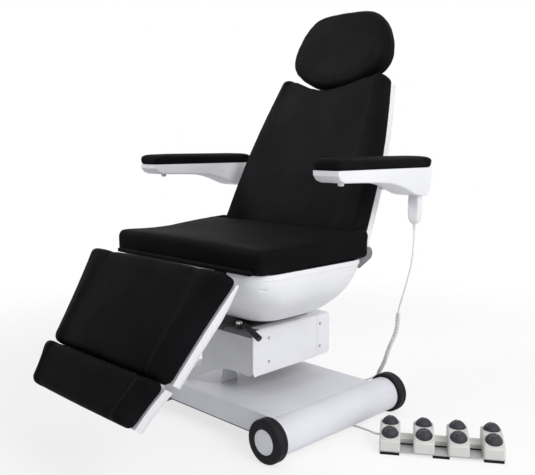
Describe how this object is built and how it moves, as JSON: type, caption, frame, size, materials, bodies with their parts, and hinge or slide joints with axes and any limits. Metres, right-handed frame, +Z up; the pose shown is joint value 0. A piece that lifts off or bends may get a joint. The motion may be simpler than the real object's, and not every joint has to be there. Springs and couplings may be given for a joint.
{
  "type": "electric treatment chair",
  "caption": "Electric treatment chair with a parallelogram lift, swivel seat, reclining back, folding leg rest, swing-up armrests, handset and foot control.",
  "frame": {"origin": "on the floor under the middle of the base, between its four rubber rings", "axes": "+Z up, -Y the way the sitter faces, +X towards the sitter's left, where the handset hangs"},
  "size_m": [1.0893, 1.0454, 1.2062],
  "materials": {
    "leatherette": "satin charcoal leatherette",
    "white_moulding": "satin white moulding",
    "lift_white": "satin white paint",
    "base_paint": "satin pale grey paint",
    "rubber": "matt black",
    "dark_steel": "black paint",
    "bright_steel": "polished",
    "bracket_grey": "grey paint",
    "black_plastic": "satin",
    "cord_white": "satin",
    "pedal_grey": "fine texture",
    "pedal_metal": "matt",
    "dome_grey": "satin"
  },
  "bodies": {
    "base": {"base_cover": "base_paint", "base_chassis": "dark_steel", "base_tube_left": "base_paint", "base_tube_right": "base_paint", "foot_ring_front_left": "rubber", "foot_ring_front_right": "rubber", "foot_ring_rear_left": "rubber", "foot_ring_rear_right": "rubber", "lift_pedestal": "dark_steel", "pedestal_shroud": "lift_white", "lift_shaft_upper": "bright_steel", "lift_shaft_lower": "bright_steel", "pedal_housing": "pedal_grey", "pedal_plate": "pedal_metal", "pedal_mat": "rubber", "pedal_cord": "cord_white", "handset_cord_lower": "cord_white", "handset_cord_coil": "cord_white"},
    "lift_arm_body": {"lift_arm": "dark_steel", "lift_cover": "lift_white", "lift_end_cap": "lift_white", "lift_actuator": "black_plastic"},
    "lift_link_body": {"lift_link": "dark_steel"},
    "carrier": {"lift_carrier": "dark_steel", "swivel_bolt": "bright_steel"},
    "lever": {"swivel_lever": "black_plastic"},
    "swivel": {"swivel_plate": "dark_steel"},
    "seat": {"seat_board": "dark_steel", "seat_pan": "white_moulding", "seat_cushion": "leatherette", "knee_flap": "leatherette", "hinge_bracket_left": "bracket_grey", "hinge_bracket_right": "bracket_grey", "back_actuator": "black_plastic", "leg_actuator": "black_plastic"},
    "back": {"back_shell": "white_moulding", "back_cushion": "leatherette", "arm_shaft": "bright_steel"},
    "headrest_slider": {"headrest_bar": "dark_steel"},
    "headrest": {"headrest_plate": "black_plastic", "headrest_cushion": "leatherette"},
    "arm_left": {"arm_shell_left": "white_moulding", "arm_pad_left": "leatherette", "handset": "white_moulding", "handset_cord_upper": "cord_white"},
    "arm_right": {"arm_shell_right": "white_moulding", "arm_pad_right": "leatherette"},
    "leg_rest": {"leg_shell": "white_moulding", "leg_cushion": "leatherette"},
    "foot_rest": {"foot_shell": "white_moulding", "foot_cushion": "leatherette"},
    "button_1_front": {"pedal_1_front": "dome_grey"},
    "button_1_rear": {"pedal_1_rear": "dome_grey"},
    "button_2_front": {"pedal_2_front": "dome_grey"},
    "button_2_rear": {"pedal_2_rear": "dome_grey"},
    "button_3_front": {"pedal_3_front": "dome_grey"},
    "button_3_rear": {"pedal_3_rear": "dome_grey"},
    "button_4_front": {"pedal_4_front": "dome_grey"},
    "button_4_rear": {"pedal_4_rear": "dome_grey"}
  },
  "joints": [
    {"name": "lift_raise", "type": "hinge", "parent": "base", "child": "lift_arm_body", "pos_m": [0, -0.106, 0.255], "axis": [1, 0, 0], "range_deg": [0, 60], "deforming": ["handset_cord_upper", "handset_cord_coil", "handset_cord_lower"]},
    {"name": "link_swing", "type": "hinge", "parent": "base", "child": "lift_link_body", "pos_m": [0, -0.106, 0.195], "axis": [1, 0, 0], "range_deg": [0, 60]},
    {"name": "carrier_level", "type": "hinge", "parent": "lift_arm_body", "child": "carrier", "pos_m": [0, 0.13, 0.255], "axis": [1, 0, 0], "range_deg": [-60, 0]},
    {"name": "lock_lever", "type": "hinge", "parent": "carrier", "child": "lever", "pos_m": [0.065, -0.172, 0.3025], "axis": [0, 0, -1], "range_deg": [0, 60]},
    {"name": "seat_swivel", "type": "hinge", "parent": "carrier", "child": "swivel", "pos_m": [0, -0.03, 0.3025], "axis": [0, 0, 1], "range_deg": [-90, 90]},
    {"name": "seat_tilt", "type": "hinge", "parent": "swivel", "child": "seat", "pos_m": [0, 0.01, 0.352], "axis": [-1, 0, 0], "range_deg": [0, 12]},
    {"name": "back_recline", "type": "hinge", "parent": "seat", "child": "back", "pos_m": [0, 0.125, 0.495], "axis": [-1, 0, 0], "range_deg": [0, 66]},
    {"name": "headrest_extend", "type": "slide", "parent": "back", "child": "headrest_slider", "axis": [0, 0.4188, 0.9081], "range_m": [0, 0.08]},
    {"name": "headrest_tilt", "type": "hinge", "parent": "headrest_slider", "child": "headrest", "pos_m": [0, 0.37134, 1.04274], "axis": [-1, 0, 0], "range_deg": [0, 40]},
    {"name": "arm_left_swing", "type": "hinge", "parent": "back", "child": "arm_left", "pos_m": [0.36, 0.20381, 0.67951], "axis": [-1, 0, 0], "range_deg": [-65, 100]},
    {"name": "arm_right_swing", "type": "hinge", "parent": "back", "child": "arm_right", "pos_m": [-0.36, 0.20381, 0.67951], "axis": [-1, 0, 0], "range_deg": [-65, 100]},
    {"name": "leg_raise", "type": "hinge", "parent": "seat", "child": "leg_rest", "pos_m": [0, -0.32621, 0.46018], "axis": [-1, 0, 0], "range_deg": [0, 54]},
    {"name": "foot_extend", "type": "slide", "parent": "leg_rest", "child": "foot_rest", "axis": [0, -0.5793, -0.8151], "range_m": [0, 0.12]},
    {"name": "press_1_front", "type": "slide", "parent": "base", "child": "button_1_front", "axis": [-0.1757, 0.2566, -0.9504], "range_m": [0, 0.004], "stiffness_N_per_m": 1000, "springref_m": -0.001},
    {"name": "press_1_rear", "type": "slide", "parent": "base", "child": "button_1_rear", "axis": [0, 0, -1], "range_m": [0, 0.004], "stiffness_N_per_m": 1000, "springref_m": -0.001},
    {"name": "press_2_front", "type": "slide", "parent": "base", "child": "button_2_front", "axis": [-0.1757, 0.2566, -0.9504], "range_m": [0, 0.004], "stiffness_N_per_m": 1000, "springref_m": -0.001},
    {"name": "press_2_rear", "type": "slide", "parent": "base", "child": "button_2_rear", "axis": [0, 0, -1], "range_m": [0, 0.004], "stiffness_N_per_m": 1000, "springref_m": -0.001},
    {"name": "press_3_front", "type": "slide", "parent": "base", "child": "button_3_front", "axis": [-0.1757, 0.2566, -0.9504], "range_m": [0, 0.004], "stiffness_N_per_m": 1000, "springref_m": -0.001},
    {"name": "press_3_rear", "type": "slide", "parent": "base", "child": "button_3_rear", "axis": [0, 0, -1], "range_m": [0, 0.004], "stiffness_N_per_m": 1000, "springref_m": -0.001},
    {"name": "press_4_front", "type": "slide", "parent": "base", "child": "button_4_front", "axis": [-0.1757, 0.2566, -0.9504], "range_m": [0, 0.004], "stiffness_N_per_m": 1000, "springref_m": -0.001},
    {"name": "press_4_rear", "type": "slide", "parent": "base", "child": "button_4_rear", "axis": [0, 0, -1], "range_m": [0, 0.004], "stiffness_N_per_m": 1000, "springref_m": -0.001}
  ],
  "couplings": [
    {"joint": "link_swing", "follows": "lift_raise", "ratio": 1},
    {"joint": "carrier_level", "follows": "lift_raise", "ratio": -1}
  ]
}
